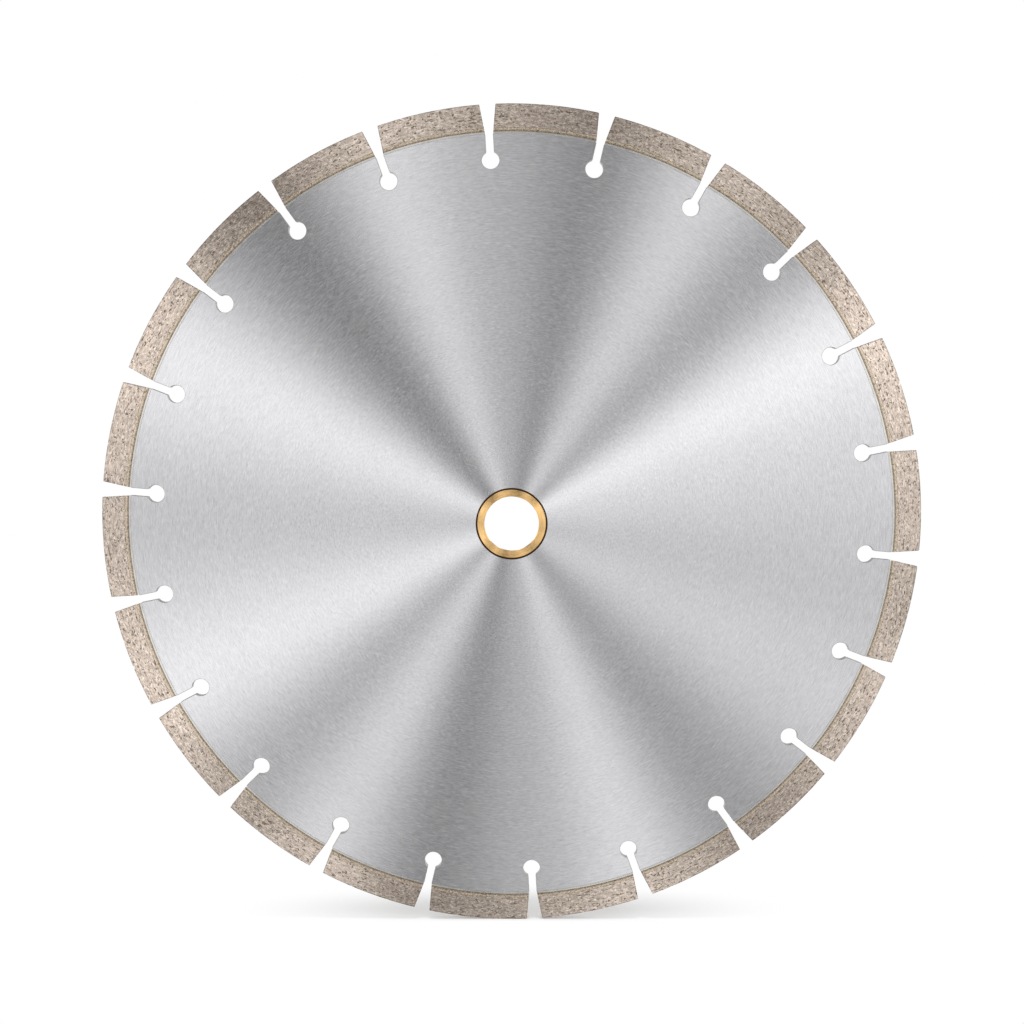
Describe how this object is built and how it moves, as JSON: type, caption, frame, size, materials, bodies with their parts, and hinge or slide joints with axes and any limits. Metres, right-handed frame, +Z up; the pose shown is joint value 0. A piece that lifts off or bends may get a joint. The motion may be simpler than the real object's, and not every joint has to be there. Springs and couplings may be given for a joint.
{
  "type": "diamond saw blade",
  "caption": "Segmented diamond saw blade: flat steel disc, laser-welded diamond segments parted by keyhole slots on its rim, and a brass reducing bushing in the bore.",
  "frame": {"origin": "centre of the bore, at half the core's thickness", "axes": "Y along the spin axis with the front face towards -Y, +Z up, +X to the right as seen from the front"},
  "size_m": [0.3, 0.003, 0.3],
  "materials": {
    "ground_steel": "circular ground, bright",
    "turned_brass": "turned, satin",
    "weld_metal": "laser weld bead, ground",
    "diamond_matrix": "sintered metal bond with diamond grit, ground",
    "foot_metal": "sintered bronze foot, ground"
  },
  "bodies": {
    "blade": {"steel_core": "ground_steel", "weld_seams": "weld_metal", "diamond_segment_01": "diamond_matrix", "diamond_segment_02": "diamond_matrix", "diamond_segment_03": "diamond_matrix", "diamond_segment_04": "diamond_matrix", "diamond_segment_05": "diamond_matrix", "diamond_segment_06": "diamond_matrix", "diamond_segment_07": "diamond_matrix", "diamond_segment_08": "diamond_matrix", "diamond_segment_09": "diamond_matrix", "diamond_segment_10": "diamond_matrix", "diamond_segment_11": "diamond_matrix", "diamond_segment_12": "diamond_matrix", "diamond_segment_13": "diamond_matrix", "diamond_segment_14": "diamond_matrix", "diamond_segment_15": "diamond_matrix", "diamond_segment_16": "diamond_matrix", "diamond_segment_17": "diamond_matrix", "diamond_segment_18": "diamond_matrix", "diamond_segment_19": "diamond_matrix", "diamond_segment_20": "diamond_matrix", "diamond_segment_21": "diamond_matrix", "diamond_segment_22": "diamond_matrix", "segment_foot_01": "foot_metal", "segment_foot_02": "foot_metal", "segment_foot_03": "foot_metal", "segment_foot_04": "foot_metal", "segment_foot_05": "foot_metal", "segment_foot_06": "foot_metal", "segment_foot_07": "foot_metal", "segment_foot_08": "foot_metal", "segment_foot_09": "foot_metal", "segment_foot_10": "foot_metal", "segment_foot_11": "foot_metal", "segment_foot_12": "foot_metal", "segment_foot_13": "foot_metal", "segment_foot_14": "foot_metal", "segment_foot_15": "foot_metal", "segment_foot_16": "foot_metal", "segment_foot_17": "foot_metal", "segment_foot_18": "foot_metal", "segment_foot_19": "foot_metal", "segment_foot_20": "foot_metal", "segment_foot_21": "foot_metal", "segment_foot_22": "foot_metal"},
    "bushing": {"reducing_bushing": "turned_brass"}
  },
  "joints": [
    {"name": "bushing_slide", "type": "slide", "parent": "blade", "child": "bushing", "axis": [0, -1, 0], "range_m": [0, 0.02]}
  ]
}
